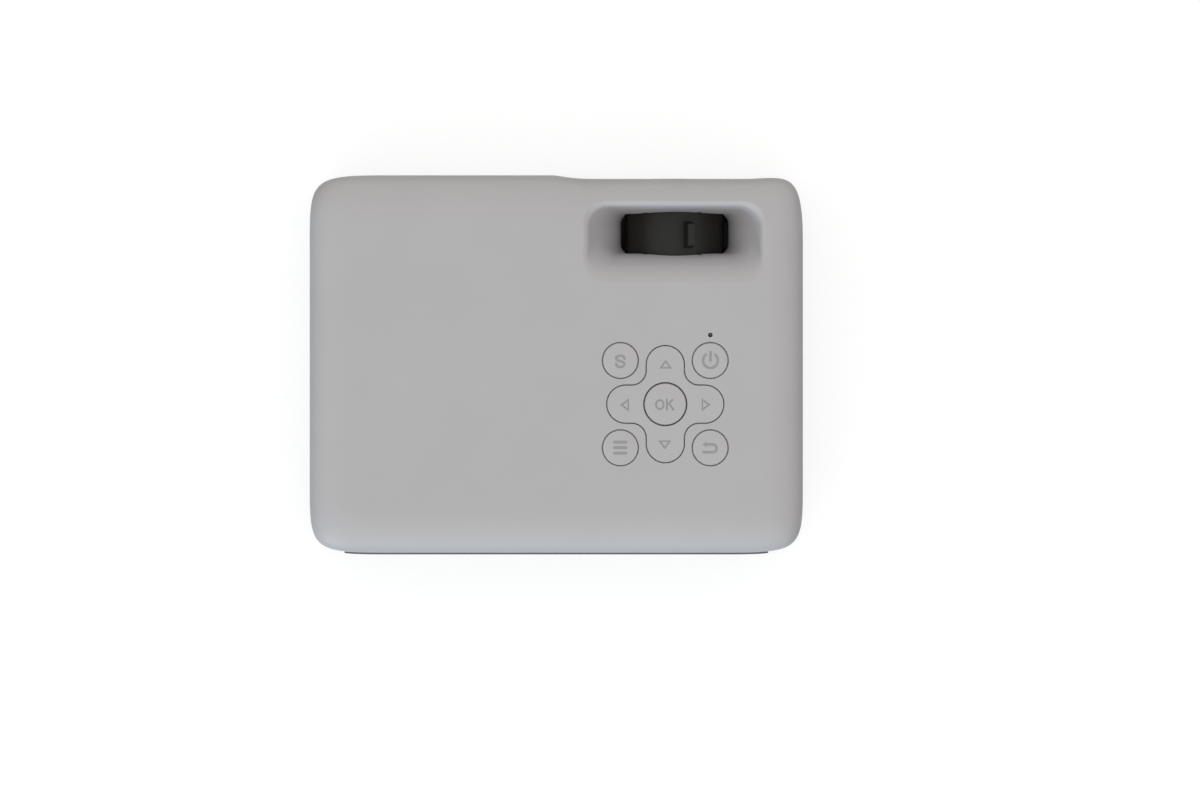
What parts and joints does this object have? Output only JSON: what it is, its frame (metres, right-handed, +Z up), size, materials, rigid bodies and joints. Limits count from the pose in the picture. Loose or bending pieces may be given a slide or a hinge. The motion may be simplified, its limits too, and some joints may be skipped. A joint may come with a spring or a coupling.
{
  "type": "projector with disc drive",
  "caption": "Squat rounded desktop projector with a keypad and focus ring on top, a lens in front and a disc tray that slides out of one side.",
  "frame": {"origin": "middle of the footprint, on the table", "axes": "+Z up, -Y is the way the lens looks, +X is the way the disc tray comes out"},
  "size_m": [0.25, 0.1922, 0.092],
  "materials": {
    "case_white": "light grey-white textured housing plastic",
    "case_base": "light grey-white textured housing plastic",
    "key_white": "light grey-white satin key plastic",
    "black_plastic": "black satin plastic",
    "dark_panel": "dark grey matt plastic",
    "ring_black": "matt black rubber-like ring",
    "foot_rubber": "black rubber",
    "glass": "coated optical glass",
    "steel": "zinc-plated steel",
    "sheet": "galvanised sheet",
    "alu": "milled aluminium",
    "brass": "brass",
    "board": "green solder mask on fibreglass",
    "parts": "component bodies",
    "smoke": "smoked infra-red window",
    "clear": "clear light guide"
  },
  "bodies": {
    "case": {"top_shell": "case_white", "base": "case_base", "rear_panel": "dark_panel", "ir_window": "smoke", "feet": "foot_rubber", "tripod_insert": "brass", "case_screws": "steel", "small_screws": "steel", "key_board": "board", "key_switches": "parts", "light_pipe": "clear", "lens_bezel": "black_plastic", "lens_tube": "black_plastic", "ring_retainer": "black_plastic", "engine_housing": "black_plastic", "engine_cover": "black_plastic", "condenser_holder": "black_plastic", "condenser_lens": "glass", "fresnel_plates": "glass", "lcd_panel": "glass", "heat_sink": "alu", "led_board": "board", "fan_frame": "black_plastic", "fan_screws": "steel", "drive_chassis": "sheet", "drive_lid": "sheet", "main_board": "board", "power_board": "board", "board_parts": "parts", "signal_sockets": "steel", "audio_jacks": "black_plastic", "power_inlet": "black_plastic", "speaker": "parts"},
    "focus_ring": {"focus_ring": "ring_black"},
    "barrel": {"lens_barrel": "black_plastic", "lens_glass": "glass", "lens_retainer": "black_plastic"},
    "key_source": {"button_source": "key_white"},
    "key_power": {"button_power": "key_white"},
    "key_menu": {"button_menu": "key_white"},
    "key_back": {"button_back": "key_white"},
    "key_ok": {"button_ok": "key_white"},
    "gimbal": {"pad_gimbal": "black_plastic"},
    "pad": {"nav_pad": "key_white"},
    "drawer": {"disc_tray": "black_plastic", "tray_deck": "sheet", "tray_bezel": "case_white", "spindle_motor": "steel", "guide_rods": "steel", "sled_motor": "steel"},
    "slide_front": {"tray_rail_front": "steel"},
    "slide_rear": {"tray_rail_rear": "steel"},
    "eject_key": {"eject_button": "key_white"},
    "disc_table": {"turntable": "black_plastic"},
    "sled": {"pickup_sled": "black_plastic", "pickup_lens": "glass"},
    "sled_screw": {"sled_screw": "steel"},
    "fan_rotor": {"fan_impeller": "black_plastic"},
    "foot_lift": {"level_pad": "foot_rubber"},
    "foot_knob": {"level_knob": "black_plastic"}
  },
  "joints": [
    {"name": "focus_turn", "type": "hinge", "parent": "case", "child": "focus_ring", "pos_m": [-0.06, -0.06675, 0.053], "axis": [0, 1, 0], "range_deg": [-30, 65]},
    {"name": "barrel_travel", "type": "slide", "parent": "case", "child": "barrel", "axis": [0, -1, 0], "range_m": [-0.0024, 0.0052]},
    {"name": "source_press", "type": "slide", "parent": "case", "child": "key_source", "axis": [0, 0, -1], "range_m": [0, 0.0006], "stiffness_N_per_m": 900, "springref_m": -0.0006},
    {"name": "power_press", "type": "slide", "parent": "case", "child": "key_power", "axis": [0, 0, -1], "range_m": [0, 0.0006], "stiffness_N_per_m": 900, "springref_m": -0.0006},
    {"name": "menu_press", "type": "slide", "parent": "case", "child": "key_menu", "axis": [0, 0, -1], "range_m": [0, 0.0006], "stiffness_N_per_m": 900, "springref_m": -0.0006},
    {"name": "back_press", "type": "slide", "parent": "case", "child": "key_back", "axis": [0, 0, -1], "range_m": [0, 0.0006], "stiffness_N_per_m": 900, "springref_m": -0.0006},
    {"name": "ok_press", "type": "slide", "parent": "case", "child": "key_ok", "axis": [0, 0, -1], "range_m": [0, 0.0006], "stiffness_N_per_m": 900, "springref_m": -0.0006},
    {"name": "pad_tilt_side", "type": "hinge", "parent": "case", "child": "gimbal", "pos_m": [-0.0552, 0.0199, 0.0864], "axis": [0, 1, 0], "range_deg": [-1, 1], "stiffness_Nm_per_rad": 0.6},
    {"name": "pad_tilt_ends", "type": "hinge", "parent": "gimbal", "child": "pad", "pos_m": [-0.0552, 0.0199, 0.0864], "axis": [1, 0, 0], "range_deg": [-1, 1], "stiffness_Nm_per_rad": 0.6},
    {"name": "tray_slide", "type": "slide", "parent": "case", "child": "drawer", "axis": [1, 0, 0], "range_m": [0, 0.122]},
    {"name": "slide_front_travel", "type": "slide", "parent": "case", "child": "slide_front", "axis": [1, 0, 0], "range_m": [0, 0.061]},
    {"name": "slide_rear_travel", "type": "slide", "parent": "case", "child": "slide_rear", "axis": [1, 0, 0], "range_m": [0, 0.061]},
    {"name": "eject_press", "type": "slide", "parent": "drawer", "child": "eject_key", "axis": [-1, 0, 0], "range_m": [0, 0.0005], "stiffness_N_per_m": 700, "springref_m": -0.0006},
    {"name": "disc_spin", "type": "hinge", "parent": "drawer", "child": "disc_table", "pos_m": [0.0595, 0, 0.0548], "axis": [0, 0, 1], "continuous": true},
    {"name": "sled_travel", "type": "slide", "parent": "drawer", "child": "sled", "axis": [0.7071, -0.7071, 0], "range_m": [0, 0.032]},
    {"name": "screw_turn", "type": "hinge", "parent": "drawer", "child": "sled_screw", "pos_m": [0.07258, 0.01308, 0.049], "axis": [0.7071, -0.7071, 0], "range_deg": [0, 5760]},
    {"name": "fan_spin", "type": "hinge", "parent": "case", "child": "fan_rotor", "pos_m": [-0.1133, 0.03, 0.051], "axis": [-1, 0, 0], "continuous": true},
    {"name": "foot_travel", "type": "slide", "parent": "case", "child": "foot_lift", "axis": [0, 0, -1], "range_m": [0, 0.012]},
    {"name": "foot_turn", "type": "hinge", "parent": "foot_lift", "child": "foot_knob", "pos_m": [0, -0.076, 0.003], "axis": [0, 0, -1], "range_deg": [0, 2160]}
  ],
  "couplings": [
    {"joint": "focus_turn", "follows": "barrel_travel", "rad_per_m": 218.17},
    {"joint": "slide_front_travel", "follows": "tray_slide", "ratio": 0.5},
    {"joint": "slide_rear_travel", "follows": "tray_slide", "ratio": 0.5},
    {"joint": "screw_turn", "follows": "sled_travel", "rad_per_m": 3141.6},
    {"joint": "foot_turn", "follows": "foot_travel", "rad_per_m": 3141.6}
  ]
}
